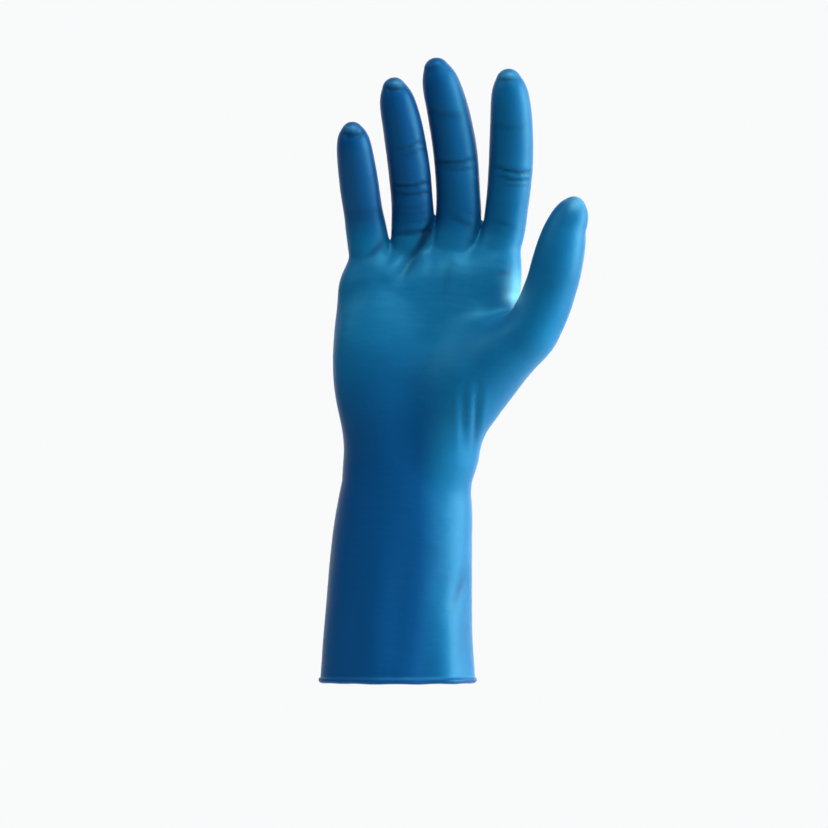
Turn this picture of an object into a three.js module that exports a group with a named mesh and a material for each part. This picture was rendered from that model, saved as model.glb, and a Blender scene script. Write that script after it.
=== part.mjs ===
// A nitrile exam glove in the form it takes on an open right hand: one thin seamless skin,
// open at the cuff, with a rolled bead round its hem. Millimetres, +Z towards the fingertips,
// the palm faces -Y and the thumb is at +X. The origin is the centre of the wrist.
import * as THREE from 'three';

const { clamp, lerp, smoothstep, degToRad } = THREE.MathUtils;

// The skin.
const WALL = 1;
const BEAD_DIAMETER = 3;

// Cuff, wrist and palm.
const CUFF_LENGTH = 97;
const CUFF_WIDTH = 75;
const CUFF_DEPTH = 52;
const WRIST_WIDTH = 62;
const WRIST_DEPTH = 43;
const PALM_LENGTH = 122;
const PALM_WIDTH = 84;
const PALM_DEPTH = 27;

// Each finger from its web to its tip, and the thumb from the wrist to its tip.
const LITTLE_LENGTH = 51.4;
const LITTLE_WIDTH = 19.2;
const RING_LENGTH = 73;
const RING_WIDTH = 20.5;
const MIDDLE_LENGTH = 80;
const MIDDLE_WIDTH = 21.6;
const INDEX_LENGTH = 79.5;
const INDEX_WIDTH = 21.8;
const THUMB_LENGTH = 121;
const THUMB_WIDTH = 22.8;
const FINGER_FLATNESS = 0.9;
const THUMB_FLATNESS = 0.96;

// The pads at the foot of the thumb and along the little finger's side of the palm.
const THENAR_WIDTH = 38;
const THENAR_DEPTH = 30;
const THENAR_LENGTH = 62;
const HEEL_WIDTH = 38;
const HEEL_DEPTH = 22;
const HEEL_LENGTH = 70;

// How widely the skin bridges between neighbouring forms.
const PALM_BLEND = 10;
const PALM_END_ROUNDING = 16;
const WEB_BLEND = 3;
const THUMB_BLEND = 12;

// The size of a fold in the skin.
const FOLD_DEPTH = 1.6;
const FOLD_WIDTH = 8;

const table = (columns, rows) =>
  rows.map((row) => Object.fromEntries(columns.map((name, i) => [name, row[i]])));

// Sections of cuff, wrist and palm. Height is a share of the cuff's length below the wrist and
// of the palm's above it. The four sides are shares of the width and depth at that height, and
// power is the section's squareness: 2 is an ellipse.
const SECTIONS = table(
  ['height', 'left', 'right', 'front', 'back', 'power'],
  [
    [-1.0, 0.556, 0.444, 0.52, 0.48, 2.1],
    [-0.72, 0.563, 0.442, 0.525, 0.49, 2.1],
    [-0.36, 0.558, 0.472, 0.53, 0.5, 2.1],
    [-0.17, 0.54, 0.492, 0.527, 0.49, 2.1],
    [0.0, 0.508, 0.49, 0.523, 0.477, 2.2],
    [0.19, 0.456, 0.455, 0.544, 0.456, 2.3],
    [0.385, 0.465, 0.47, 0.585, 0.46, 2.4],
    [0.574, 0.452, 0.63, 0.571, 0.465, 2.5],
    [0.738, 0.415, 0.675, 0.51, 0.46, 2.5],
    [0.87, 0.385, 0.65, 0.44, 0.435, 2.5],
    [1.0, 0.37, 0.66, 0.352, 0.39, 2.5],
  ],
);
const KNUCKLES = 0.87;
const PALM_END = 0.9;
const PALM_END_SLOPE = 0.12;

// Each finger leaves the palm at x, y and z, as shares of the palm's width, depth and length.
// Its slant and bend across, and its lift and curl to the front, are shares of its own length.
const FINGERS = table(
  ['length', 'width', 'x', 'y', 'z', 'slant', 'bend', 'lift', 'curl'],
  [
    [LITTLE_LENGTH, LITTLE_WIDTH, -0.233, 0.0, 0.985, -0.17, 0.03, 0.25, 0.15],
    [RING_LENGTH, RING_WIDTH, 0.036, 0.05, 0.994, -0.015, -0.13, 0.2, 0.11],
    [MIDDLE_LENGTH, MIDDLE_WIDTH, 0.293, 0.07, 1.018, 0.055, -0.21, 0.17, 0.1],
    [INDEX_LENGTH, INDEX_WIDTH, 0.545, 0.05, 0.978, 0.19, -0.155, 0.12, 0.1],
  ],
);
// Stations along a finger. Below its root it runs back into the palm, towards the wrist.
const FINGER_FORM = table(
  ['along', 'girth'],
  [
    [0, 1.04],
    [0.18, 0.99],
    [0.42, 0.99],
    [0.65, 0.95],
    [0.83, 0.84],
    [0.925, 0.57],
  ],
);
const FINGER_ROOT = table(['inward', 'girth'], [[0.32, 0.7], [0.14, 1.05]]);

// The thumb starts beside the wrist. Its stations are shares of its own length.
const THUMB_START = { x: 0.215, y: -0.22, z: 0.127 };
const THUMB_FORM = table(
  ['along', 'across', 'forward', 'girth'],
  [
    [0, 0, 0, 1.4],
    [0.185, 0.045, 0.035, 1.34],
    [0.29, 0.112, 0.075, 1.26],
    [0.425, 0.304, 0.125, 1.24],
    [0.525, 0.378, 0.15, 1.15],
    [0.64, 0.424, 0.167, 1.1],
    [0.73, 0.448, 0.18, 1.08],
    [0.81, 0.467, 0.187, 1.01],
    [0.87, 0.481, 0.19, 0.88],
    [0.92, 0.502, 0.19, 0.76],
    [0.955, 0.515, 0.187, 0.52],
  ],
);

// Centres of the two pads, as shares of the palm's width, depth and length.
const THENAR_CENTRE = { x: 0.37, y: -0.55, z: 0.38 };
const THENAR_LEAN = 36;
const HEEL_CENTRE = { x: -0.16, y: -0.36, z: 0.4 };
const HEEL_LEAN = -4;

// Folds on the palm's side, as lines between two points: x is a share of the palm's width, and z
// of the palm's length above the wrist or the cuff's below it. Depth and width are shares of a
// fold's, and a ridge has a depth below 0.
const FOLDS = table(
  ['fromX', 'fromZ', 'toX', 'toZ', 'depth', 'width'],
  [
    [0.155, 1.02, -0.07, 0.76, 1.1, 1.0],
    [-0.09, 0.97, -0.26, 0.86, 0.7, 0.9],
    [-0.02, 0.92, -0.15, 0.77, -0.5, 1.0],
    [0.4, 1.0, 0.3, 0.86, 0.5, 0.9],
    [0.6, 0.72, 0.42, 0.6, 0.6, 1.4],
    [0.44, 0.61, 0.3, 0.4, 0.6, 1.6],
    [0.33, 0.42, 0.33, 0.04, 0.5, 0.7],
    [0.42, 0.42, 0.36, 0.04, 0.5, 0.7],
    [0.39, -0.38, 0.2, -0.74, 0.8, 1.0],
    [0.3, -0.3, 0.14, -0.66, 0.4, 1.0],
  ],
);

const smoothMin = (a, b, blend) => {
  const h = clamp(0.5 + (0.5 * (b - a)) / blend, 0, 1);
  return lerp(b, a, h) - blend * h * (1 - h);
};
const smoothMax = (a, b, blend) => -smoothMin(-a, -b, blend);
const heightAt = (share) => share * (share < 0 ? CUFF_LENGTH : PALM_LENGTH);
const inPalm = ({ x, y, z }) => ({ x: x * PALM_WIDTH, y: y * PALM_DEPTH, z: z * PALM_LENGTH });

// A digit is a row of short cones on a smooth curve through its stations.
const CONES_PER_STATION = 6;
function makeDigit(stations, flatness) {
  const curveOf = (toPoint) => new THREE.CatmullRomCurve3(stations.map(toPoint), false, 'catmullrom');
  const middle = curveOf((s) => new THREE.Vector3(s.x, s.y, s.z));
  const girth = curveOf((s) => new THREE.Vector3(s.radius, 0, 0));
  const count = (stations.length - 1) * CONES_PER_STATION;
  const points = Array.from({ length: count + 1 }, (_, i) => middle.getPoint(i / count));
  const radii = points.map((_, i) => girth.getPoint(i / count).x);
  const widest = Math.max(...radii);
  const box = new THREE.Box3().setFromPoints(points).expandByScalar(widest);
  const cones = points.slice(1).map((end, i) => {
    const start = points[i];
    const [dx, dy, dz] = [end.x - start.x, (end.y - start.y) / flatness, end.z - start.z];
    const length2 = dx * dx + dy * dy + dz * dz;
    return { start, dx, dy, dz, length2, radius: radii[i], grow: radii[i + 1] - radii[i] };
  });
  return { box, cones, flatness };
}

function digitDistance({ cones, flatness }, x, y, z) {
  let best = Infinity;
  for (const { start, dx, dy, dz, length2, radius, grow } of cones) {
    const ux = x - start.x;
    const uy = (y - start.y) / flatness;
    const uz = z - start.z;
    const t = clamp((ux * dx + uy * dy + uz * dz) / length2, 0, 1);
    const [rx, ry, rz] = [ux - t * dx, uy - t * dy, uz - t * dz];
    best = Math.min(best, Math.sqrt(rx * rx + ry * ry + rz * rz) - radius - t * grow);
  }
  return (best * (1 + flatness)) / 2;
}

function fingerStations({ length, width, slant, bend, lift, curl, ...place }) {
  const root = inPalm(place);
  const below = FINGER_ROOT.map(({ inward, girth }) => ({
    x: lerp(root.x, 0, inward),
    y: root.y,
    z: lerp(root.z, 0, inward),
    radius: (girth * width) / 2,
  }));
  const above = FINGER_FORM.map(({ along, girth }) => ({
    x: root.x + (slant * along + bend * along * along) * length,
    y: root.y - (lift * along + curl * along * along) * length,
    z: root.z + along * length,
    radius: (girth * width) / 2,
  }));
  return [...below, ...above];
}

function thumbStations() {
  const start = inPalm(THUMB_START);
  return THUMB_FORM.map(({ along, across, forward, girth }) => ({
    x: start.x + across * THUMB_LENGTH,
    y: start.y - forward * THUMB_LENGTH,
    z: start.z + along * THUMB_LENGTH,
    radius: (girth * THUMB_WIDTH) / 2,
  }));
}

const fingers = FINGERS.map((finger) => makeDigit(fingerStations(finger), FINGER_FLATNESS));
const thumb = makeDigit(thumbStations(), THUMB_FLATNESS);

// One column of the sections at a height, on a smooth curve through the rows.
const sectionHeights = SECTIONS.map(({ height }) => heightAt(height));
function sectionValue(column, z) {
  const last = SECTIONS.length - 1;
  const slopeAt = (row) => {
    const low = Math.max(0, row - 1);
    const high = Math.min(last, row + 1);
    return (SECTIONS[high][column] - SECTIONS[low][column]) / (sectionHeights[high] - sectionHeights[low]);
  };
  const above = sectionHeights.findIndex((height) => height > z);
  const row = above < 0 ? last - 1 : Math.max(0, above - 1);
  const span = sectionHeights[row + 1] - sectionHeights[row];
  const t = clamp((z - sectionHeights[row]) / span, 0, 1);
  const rise = t * t * (3 - 2 * t);
  return lerp(SECTIONS[row][column], SECTIONS[row + 1][column], rise)
    + t * (1 - t) * span * ((1 - t) * slopeAt(row) - t * slopeAt(row + 1));
}

// The width or depth at a height, from the hem through the wrist to the knuckles.
const sizeAt = (cuff, wrist, palm, z) =>
  z < 0
    ? lerp(wrist, cuff, clamp(-z / CUFF_LENGTH, 0, 1))
    : lerp(wrist, palm, clamp(z / (KNUCKLES * PALM_LENGTH), 0, 1));

function bodySides(z) {
  const width = sizeAt(CUFF_WIDTH, WRIST_WIDTH, PALM_WIDTH, z);
  const depth = sizeAt(CUFF_DEPTH, WRIST_DEPTH, PALM_DEPTH, z);
  return {
    left: -sectionValue('left', z) * width,
    right: sectionValue('right', z) * width,
    front: -sectionValue('front', z) * depth,
    back: sectionValue('back', z) * depth,
    power: sectionValue('power', z),
  };
}

const TINY = 1e-6;
function bodyDistance(x, y, z, { left, right, front, back, power }) {
  const [halfWidth, halfDepth] = [(right - left) / 2, (back - front) / 2];
  const across = Math.abs(x - (left + right) / 2) / halfWidth + TINY;
  const deep = Math.abs(y - (front + back) / 2) / halfDepth + TINY;
  const size = (across ** power + deep ** power) ** (1 / power);
  const slopeX = (across / size) ** (power - 1) / halfWidth;
  const slopeY = (deep / size) ** (power - 1) / halfDepth;
  const sideways = (size - 1) / Math.sqrt(slopeX * slopeX + slopeY * slopeY);
  return smoothMax(sideways, z - PALM_END * PALM_LENGTH - PALM_END_SLOPE * x, PALM_END_ROUNDING);
}

// A pad is an ellipsoid that leans about Y.
function makePad(centre, width, depth, length, lean) {
  const turn = degToRad(lean);
  const radii = [width / 2, depth / 2, length / 2];
  return { centre: inPalm(centre), radii, cos: Math.cos(turn), sin: Math.sin(turn) };
}
function padDistance({ centre, radii, cos, sin }, x, y, z) {
  const [dx, dy, dz] = [x - centre.x, y - centre.y, z - centre.z];
  const local = [cos * dx - sin * dz, dy, sin * dx + cos * dz];
  const near = Math.hypot(...local.map((v, i) => v / radii[i]));
  const steep = Math.hypot(...local.map((v, i) => v / radii[i] ** 2)) + TINY;
  return (near * (near - 1)) / steep;
}
const thenar = makePad(THENAR_CENTRE, THENAR_WIDTH, THENAR_DEPTH, THENAR_LENGTH, THENAR_LEAN);
const heel = makePad(HEEL_CENTRE, HEEL_WIDTH, HEEL_DEPTH, HEEL_LENGTH, HEEL_LEAN);

// How far the folds sink the skin on the palm's side. A fold fades towards both of its ends.
const END_FADE = 1.5;
const folds = FOLDS.map(({ fromX, fromZ, toX, toZ, depth, width }) => {
  const from = { x: fromX * PALM_WIDTH, z: heightAt(fromZ) };
  const run = { x: toX * PALM_WIDTH - from.x, z: heightAt(toZ) - from.z };
  const length = Math.hypot(run.x, run.z);
  return { from, run, length, depth: depth * FOLD_DEPTH, reach: (width * FOLD_WIDTH) / 2 };
});
function foldDepth(x, z) {
  let sunk = 0;
  for (const { from, run, length, depth, reach } of folds) {
    const t = ((x - from.x) * run.x + (z - from.z) * run.z) / length ** 2;
    if (t < 0 || t > 1) continue;
    const off = ((x - from.x) * run.z - (z - from.z) * run.x) / length;
    sunk += depth * (4 * t * (1 - t)) ** END_FADE * Math.exp(-((off / reach) ** 2));
  }
  return sunk;
}

// Signed distance to the skin's outer face, below 0 inside the glove.
const WEB_FROM = 0.76;
function skinDistance(x, y, z) {
  const sides = bodySides(z);
  const webbing = smoothstep(z, WEB_FROM * PALM_LENGTH, PALM_LENGTH);
  const blend = lerp(PALM_BLEND, WEB_BLEND, webbing);
  const point = new THREE.Vector3(x, y, z);
  let distance = bodyDistance(x, y, z, sides);
  for (const finger of fingers) {
    if (finger.box.distanceToPoint(point) < distance + blend)
      distance = smoothMin(distance, digitDistance(finger, x, y, z), blend);
  }
  if (thumb.box.distanceToPoint(point) < distance + THUMB_BLEND) {
    const pad = padDistance(thenar, x, y, z);
    distance = smoothMin(distance, smoothMin(digitDistance(thumb, x, y, z), pad, THUMB_BLEND), THUMB_BLEND);
  }
  distance = smoothMin(distance, padDistance(heel, x, y, z), THUMB_BLEND);
  const middle = (sides.front + sides.back) / 2;
  return distance + foldDepth(x, z) * smoothstep(middle - y, 0, FOLD_WIDTH);
}

const PROBE = 0.2;
function skinNormal({ x, y, z }) {
  return new THREE.Vector3(
    skinDistance(x + PROBE, y, z) - skinDistance(x - PROBE, y, z),
    skinDistance(x, y + PROBE, z) - skinDistance(x, y - PROBE, z),
    skinDistance(x, y, z + PROBE) - skinDistance(x, y, z - PROBE),
  ).divideScalar(2 * PROBE);
}

// Along the hem the skin's points stay level.
const hem = -CUFF_LENGTH + BEAD_DIAMETER / 2;
function levelNormal(point) {
  const normal = skinNormal(point.place);
  return point.onHem ? normal.setZ(0) : normal;
}
const SNAP_ROUNDS = 3;
function snapToSkin(point) {
  if (point.onHem) point.place.z = hem;
  for (let round = 0; round < SNAP_ROUNDS; round++) {
    const normal = levelNormal(point);
    const { x, y, z } = point.place;
    point.place.addScaledVector(normal, -skinDistance(x, y, z) / normal.lengthSq());
  }
}

// Grid cells that the net of the skin is drawn in, and the space they fill.
const CELL = { x: 2.1, y: 3, z: 3 };
const CORNERS = 8;
const MARGIN = 8;
const GROUP_PASSES = 4;
function gridBounds() {
  const box = thumb.box.clone();
  for (const finger of fingers) box.union(finger.box);
  for (const height of sectionHeights) {
    const { left, right, front, back } = bodySides(height);
    box.expandByPoint(new THREE.Vector3(left, front, height));
    box.expandByPoint(new THREE.Vector3(right, back, height));
  }
  return box.expandByScalar(MARGIN);
}

// Surface nets: one point in each grid cell that the skin passes through, and one face round
// each grid edge that crosses it. Values repeat in the two lowest layers, so the hem is level.
function netOfSkin() {
  const box = gridBounds();
  const nx = Math.ceil((box.max.x - box.min.x) / CELL.x) + 1;
  const ny = Math.ceil((box.max.y - box.min.y) / CELL.y) + 1;
  const nz = Math.ceil((box.max.z - hem) / CELL.z) + 2;
  const nodeIndex = (i, j, k) => (k * ny + j) * nx + i;
  const nodeAt = (i, j, k) =>
    new THREE.Vector3(box.min.x + i * CELL.x, box.min.y + j * CELL.y, hem + (k - 0.5) * CELL.z);
  const value = new Float64Array(nx * ny * nz);
  for (let k = 0; k < nz; k++) {
    for (let j = 0; j < ny; j++) {
      for (let i = 0; i < nx; i++) {
        const { x, y, z } = nodeAt(i, j, Math.max(k, 1));
        value[nodeIndex(i, j, k)] = skinDistance(x, y, z);
      }
    }
  }

  const corners = Array.from({ length: CORNERS }, (_, c) => [c & 1, (c >> 1) & 1, (c >> 2) & 1]);
  const cellEdges = corners.flatMap((_, c) =>
    [1, 2, 4].filter((bit) => !(c & bit)).map((bit) => [c, c | bit]));
  const points = [];
  const pointInCell = new Map();
  for (let k = 0; k < nz - 1; k++) {
    for (let j = 0; j < ny - 1; j++) {
      for (let i = 0; i < nx - 1; i++) {
        const values = corners.map(([a, b, c]) => value[nodeIndex(i + a, j + b, k + c)]);
        const crossed = cellEdges.filter(([c, e]) => values[c] < 0 !== values[e] < 0);
        if (!crossed.length) continue;
        // Corners inside the glove that touch along an edge share one point.
        const group = corners.map((_, c) => c);
        for (let pass = 0; pass < GROUP_PASSES; pass++) {
          for (const [c, e] of cellEdges) {
            if (values[c] >= 0 || values[e] >= 0) continue;
            group[c] = Math.min(group[c], group[e]);
            group[e] = group[c];
          }
        }
        for (const id of new Set(group.filter((_, c) => values[c] < 0))) {
          const mine = crossed.filter(([c, e]) => group[values[c] < 0 ? c : e] === id);
          if (!mine.length) continue;
          const place = new THREE.Vector3();
          for (const [c, e] of mine) {
            const t = values[c] / (values[c] - values[e]);
            const [start, end] = [c, e].map((q) =>
              nodeAt(i + corners[q][0], j + corners[q][1], k + corners[q][2]));
            place.addScaledVector(start.lerp(end, t), 1 / mine.length);
          }
          group.forEach((g, c) => {
            if (values[c] < 0 && g === id) pointInCell.set(nodeIndex(i, j, k) * CORNERS + c, points.length);
          });
          points.push({ place, onHem: k === 0 });
        }
      }
    }
  }

  const axes = [[1, 0, 0], [0, 1, 0], [0, 0, 1]];
  const triangles = [];
  for (let k = 1; k < nz - 1; k++) {
    for (let j = 1; j < ny - 1; j++) {
      for (let i = 1; i < nx - 1; i++) {
        axes.forEach((axis, n) => {
          const inside = value[nodeIndex(i, j, k)] < 0;
          if (inside === value[nodeIndex(i + axis[0], j + axis[1], k + axis[2])] < 0) return;
          const [u, v] = [axes[(n + 1) % 3], axes[(n + 2) % 3]];
          const ring = [[0, 0], [1, 0], [1, 1], [0, 1]].map(([s, t]) => {
            const back = u.map((_, m) => s * u[m] + t * v[m]);
            const corner = back.map((b, m) => b + (inside ? 0 : axis[m]));
            return pointInCell.get(nodeIndex(i - back[0], j - back[1], k - back[2]) * CORNERS
              + corner[0] + 2 * corner[1] + 4 * corner[2]);
          });
          const [a, b, c, d] = inside ? ring : ring.reverse();
          triangles.push([a, b, c], [a, c, d]);
        });
      }
    }
  }
  for (const point of points) snapToSkin(point);
  return { points, triangles };
}

// The planes of a point's triangles, summed as a quadric: how far a place lies from all of them.
const quadricOf = (normal, offset, weight) => {
  const [x, y, z] = normal.toArray();
  return [x * x, x * y, x * z, x * offset, y * y, y * z, y * offset, z * z, z * offset, offset * offset, 1]
    .map((v) => v * weight);
};
const quadricError = (q, { x, y, z }) =>
  (q[0] * x * x + q[4] * y * y + q[7] * z * z + q[9]
    + 2 * (q[1] * x * y + q[2] * x * z + q[3] * x + q[5] * y * z + q[6] * y + q[8] * z)) / q[10];

// Draws each point a little towards the middle of its neighbours, along the skin.
const EVEN_ROUNDS = 3;
const EVEN_SHARE = 0.3;
function evenOut({ points, triangles }) {
  const beside = points.map(() => new Set());
  for (const triangle of triangles) {
    for (const a of triangle) {
      for (const b of triangle) if (a !== b && (!points[a].onHem || points[b].onHem)) beside[a].add(b);
    }
  }
  for (let round = 0; round < EVEN_ROUNDS; round++) {
    const middles = beside.map((others) => {
      const middle = new THREE.Vector3();
      for (const b of others) middle.addScaledVector(points[b].place, 1 / others.size);
      return middle;
    });
    points.forEach((point, a) => {
      point.place.lerp(middles[a], EVEN_SHARE);
      snapToSkin(point);
    });
  }
}

// Thins out the net, joining first the neighbours whose joining moves the skin least.
const FACES_WANTED = 5600;
const PASS_SHARE = 0.3;
const LENGTH_WEIGHT = 0.0015;
const LEAST_ALIGNMENT = 0.35;
function thinOut({ points, triangles }) {
  const normalOf = ([a, b, c]) => {
    const side = points[b].place.clone().sub(points[a].place);
    return side.cross(points[c].place.clone().sub(points[a].place));
  };
  const round = points.map(() => new Set());
  triangles.forEach((triangle, t) => triangle.forEach((p) => round[p].add(t)));
  const quadrics = points.map(() => new Array(11).fill(0));
  triangles.forEach((triangle) => {
    const normal = normalOf(triangle);
    const area = normal.length() / 2;
    normal.normalize();
    const quadric = quadricOf(normal, -normal.dot(points[triangle[0]].place), area);
    for (const p of triangle) quadric.forEach((v, i) => { quadrics[p][i] += v; });
  });
  const neighbours = (p) => new Set([...round[p]].flatMap((t) => triangles[t]).filter((q) => q !== p));

  const bestJoin = (a, b) => {
    const quadric = quadrics[a].map((v, i) => v + quadrics[b][i]);
    const ends = [points[a].place, points[b].place];
    const choices = [ends[0].clone().lerp(ends[1], 0.5), ...ends];
    const errors = choices.map((choice) => quadricError(quadric, choice));
    const least = errors.indexOf(Math.min(...errors));
    const length2 = ends[0].distanceToSquared(ends[1]);
    return { a, b, quadric, place: choices[least].clone(), cost: errors[least] + LENGTH_WEIGHT * length2 };
  };
  const mayJoin = ({ a, b, place }) => {
    const shared = [...round[a]].filter((t) => round[b].has(t));
    const beside = neighbours(b);
    const common = [...neighbours(a)].filter((p) => beside.has(p));
    if (common.length !== shared.length || (points[a].onHem && shared.length !== 1)) return false;
    return [...round[a], ...round[b]].filter((t) => !shared.includes(t)).every((t) => {
      const before = normalOf(triangles[t]);
      const moved = triangles[t].map((p) => (p === a || p === b ? place : points[p].place));
      const after = moved[1].clone().sub(moved[0]).cross(moved[2].clone().sub(moved[0]));
      return after.dot(before) > LEAST_ALIGNMENT * after.length() * before.length();
    });
  };
  const join = ({ a, b, quadric, place }) => {
    points[a].place.copy(place);
    quadrics[a] = quadric;
    for (const t of round[b]) {
      if (triangles[t].includes(a)) {
        for (const p of triangles[t]) if (p !== b) round[p].delete(t);
        triangles[t] = null;
      } else {
        triangles[t] = triangles[t].map((p) => (p === b ? a : p));
        round[a].add(t);
      }
    }
    round[b].clear();
  };

  let left = triangles.length;
  while (left > FACES_WANTED) {
    const joins = [];
    points.forEach((point, a) => {
      for (const b of neighbours(a)) {
        if (a < b && point.onHem === points[b].onHem) joins.push(bestJoin(a, b));
      }
    });
    joins.sort((first, second) => first.cost - second.cost);
    const touched = new Set();
    const before = left;
    for (const candidate of joins.slice(0, Math.ceil(joins.length * PASS_SHARE))) {
      if (left <= FACES_WANTED) break;
      if (touched.has(candidate.a) || touched.has(candidate.b) || !mayJoin(candidate)) continue;
      for (const end of [candidate.a, candidate.b]) {
        touched.add(end);
        for (const p of neighbours(end)) touched.add(p);
      }
      left -= points[candidate.a].onHem ? 1 : 2;
      join(candidate);
    }
    if (left === before) break;
  }

  const kept = triangles.filter(Boolean);
  const order = [...new Set(kept.flat())];
  const renamed = new Map(order.map((p, i) => [p, i]));
  const net = {
    points: order.map((p) => points[p]),
    triangles: kept.map((triangle) => triangle.map((p) => renamed.get(p))),
  };
  evenOut(net);
  return net;
}

// The shell: the outer face, the inner face a wall inside it, and the bead that joins them.
const BEAD_SIDES = 8;
function gloveGeometry() {
  const { points, triangles } = thinOut(netOfSkin());
  const normals = points.map((point) => levelNormal(point).normalize());
  const vertices = points.map(({ place }) => place);
  const addVertex = (vertex) => vertices.push(vertex) - 1;
  const innerOf = points.map(({ place }, i) => addVertex(place.clone().addScaledVector(normals[i], -WALL)));
  const faces = triangles.flatMap(([a, b, c]) => [a, b, c, innerOf[c], innerOf[b], innerOf[a]]);

  // The bead's section runs round from the outer face, under the hem and up to the inner face.
  const radius = BEAD_DIAMETER / 2;
  const mouth = Math.asin(WALL / BEAD_DIAMETER);
  const beadOf = points.map(({ place, onHem }, i) => {
    if (!onHem) return null;
    const ring = Array.from({ length: BEAD_SIDES - 1 }, (_, s) => {
      const angle = lerp(mouth, 2 * Math.PI - mouth, (s + 1) / BEAD_SIDES);
      const out = radius * Math.sin(angle) - WALL / 2;
      const up = radius * (Math.cos(angle) - Math.cos(mouth));
      const corner = place.clone().addScaledVector(normals[i], out);
      return addVertex(corner.setZ(hem + up));
    });
    return [i, ...ring, innerOf[i]];
  });
  const sides = new Set(triangles.flatMap(([a, b, c]) => [`${a} ${b}`, `${b} ${c}`, `${c} ${a}`]));
  for (const side of sides) {
    const [a, b] = side.split(' ').map(Number);
    if (sides.has(`${b} ${a}`)) continue;
    for (let s = 0; s < BEAD_SIDES; s++) {
      const [p, q] = [beadOf[a], beadOf[b]];
      faces.push(q[s], p[s], p[s + 1], q[s], p[s + 1], q[s + 1]);
    }
  }

  const geometry = new THREE.BufferGeometry();
  geometry.setFromPoints(vertices);
  geometry.setIndex(faces);
  geometry.computeVertexNormals();
  return geometry;
}

const nitrile = new THREE.MeshStandardMaterial({ color: 0x1a6fae, roughness: 0.5, metalness: 0 });
const glove = new THREE.Mesh(gloveGeometry(), nitrile);
glove.name = 'glove';

const group = new THREE.Group();
group.add(glove);
export default group;
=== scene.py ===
"""A blue nitrile exam glove in the form of an open right hand, held up in a pale studio.

The CAD frame gives the plain skin. This script draws the same skin finely, with its folds, joint
creases and rolled hem, and gives it its film of nitrile, the light and the camera. The form is worked
out in millimetres, and MM brings it to the frame's metres.
"""

import math

import bpy
import numpy as np
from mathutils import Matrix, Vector


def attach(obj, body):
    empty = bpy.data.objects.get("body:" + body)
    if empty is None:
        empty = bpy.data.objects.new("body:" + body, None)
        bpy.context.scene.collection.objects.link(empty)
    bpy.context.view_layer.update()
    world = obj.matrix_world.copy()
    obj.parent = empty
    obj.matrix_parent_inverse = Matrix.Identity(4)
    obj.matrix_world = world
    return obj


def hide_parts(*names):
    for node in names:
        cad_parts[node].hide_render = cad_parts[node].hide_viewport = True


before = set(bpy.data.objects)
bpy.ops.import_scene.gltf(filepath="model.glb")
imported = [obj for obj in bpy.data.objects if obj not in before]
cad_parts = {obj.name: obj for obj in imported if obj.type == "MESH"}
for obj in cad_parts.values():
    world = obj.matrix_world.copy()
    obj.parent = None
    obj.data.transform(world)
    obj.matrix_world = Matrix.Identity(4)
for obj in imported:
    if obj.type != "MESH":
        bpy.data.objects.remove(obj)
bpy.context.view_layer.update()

MM = 0.001

# Sizes of the skin, in millimetres. They are the CAD model's, apart from WEB_BLEND, which is smaller
# here, so that the webs between the fingers lie as low as in the photograph.
WALL = 1.0
BEAD_DIAMETER = 3.0
CUFF_LENGTH = 97.0
CUFF_WIDTH = 75.0
CUFF_DEPTH = 52.0
WRIST_WIDTH = 62.0
WRIST_DEPTH = 43.0
PALM_LENGTH = 122.0
PALM_WIDTH = 84.0
PALM_DEPTH = 27.0
LITTLE_SIZE = {"length": 51.4, "width": 19.2}
RING_SIZE = {"length": 73.0, "width": 20.5}
MIDDLE_SIZE = {"length": 80.0, "width": 21.6}
INDEX_SIZE = {"length": 79.5, "width": 21.8}
THUMB_SIZE = {"length": 121.0, "width": 22.8}
FINGER_FLATNESS = 0.9
THUMB_FLATNESS = 0.96
THENAR_SIZE = (38.0, 30.0, 62.0)
HEEL_SIZE = (38.0, 22.0, 70.0)
PALM_BLEND = 10.0
PALM_END_ROUNDING = 16.0
WEB_BLEND = 0.8
THUMB_BLEND = 12.0
FOLD_DEPTH = 1.6
FOLD_WIDTH = 8.0


def table(columns, rows):
    return [dict(zip(columns, row)) for row in rows]


# Sections of cuff, wrist and palm. Height is a share of the cuff's length below the wrist and of the
# palm's above it. The sides are shares of the width and depth there, and power is the squareness.
SECTIONS = table(
    ("height", "left", "right", "front", "back", "power"),
    [
        (-1.0, 0.556, 0.444, 0.52, 0.48, 2.1),
        (-0.72, 0.563, 0.442, 0.525, 0.49, 2.1),
        (-0.36, 0.558, 0.472, 0.53, 0.5, 2.1),
        (-0.17, 0.54, 0.492, 0.527, 0.49, 2.1),
        (0.0, 0.508, 0.49, 0.523, 0.477, 2.2),
        (0.19, 0.456, 0.455, 0.544, 0.456, 2.3),
        (0.385, 0.465, 0.47, 0.585, 0.46, 2.4),
        (0.574, 0.452, 0.63, 0.571, 0.465, 2.5),
        (0.738, 0.415, 0.675, 0.51, 0.46, 2.5),
        (0.87, 0.385, 0.65, 0.44, 0.435, 2.5),
        (1.0, 0.37, 0.66, 0.352, 0.39, 2.5),
    ],
)
KNUCKLES = 0.87
PALM_END = 0.9
PALM_END_SLOPE = 0.12

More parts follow.
